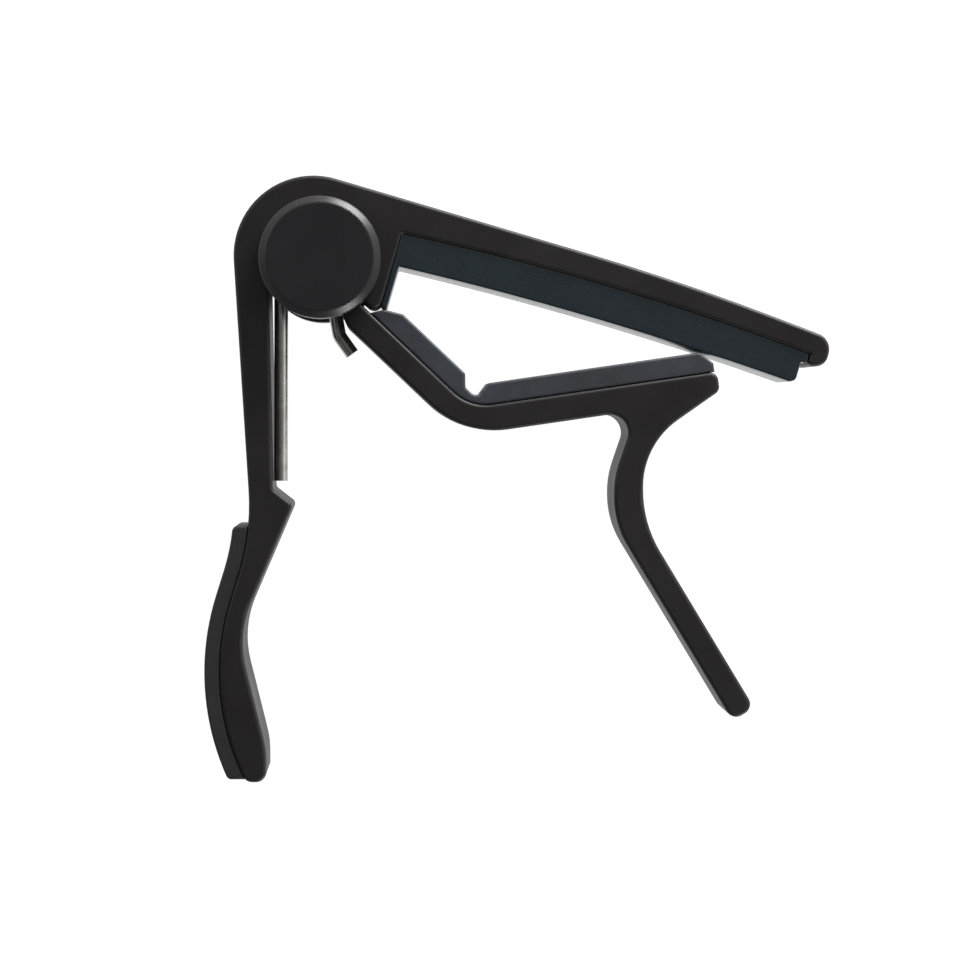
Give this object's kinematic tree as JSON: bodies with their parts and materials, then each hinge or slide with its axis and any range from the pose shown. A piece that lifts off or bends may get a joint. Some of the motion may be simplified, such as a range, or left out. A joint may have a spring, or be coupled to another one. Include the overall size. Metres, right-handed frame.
{
  "type": "guitar capo",
  "caption": "Spring-loaded squeeze capo: a padded arm and handle in one casting, with a padded jaw and trigger lever turning on a capped pivot.",
  "frame": {"origin": "centre of the rear cap's flat outer face, on the pivot axis", "axes": "+Z along the pivot axis, from the rear cap to the front cap; +X along the fretting arm, away from the pivot; +Y from the grips towards the arm"},
  "size_m": [0.0849, 0.082, 0.019],
  "materials": {
    "coated_metal": "satin black coating",
    "cap_metal": "satin black coating",
    "pin_steel": "ground",
    "bearing_plastic": "smooth",
    "spring_steel": "bright drawn wire",
    "arm_rubber": "smooth",
    "jaw_rubber": "smooth",
    "grip_rubber": "fine matt"
  },
  "bodies": {
    "frame": {"frame": "coated_metal", "arm_pad": "arm_rubber", "grip_pad": "grip_rubber", "front_cap": "cap_metal", "rear_cap": "cap_metal", "pivot_pin": "pin_steel", "spring_sleeve": "bearing_plastic", "front_washer": "bearing_plastic", "rear_washer": "bearing_plastic", "torsion_spring": "spring_steel"},
    "jaw": {"jaw_lever": "coated_metal", "jaw_pad": "jaw_rubber"}
  },
  "joints": [
    {"name": "jaw_pivot", "type": "hinge", "parent": "frame", "child": "jaw", "pos_m": [0, 0, 0.0095], "axis": [0, 0, -1], "range_deg": [0, 32], "stiffness_Nm_per_rad": 1.25, "springref_deg": -17.19, "deforming": ["torsion_spring"]}
  ]
}
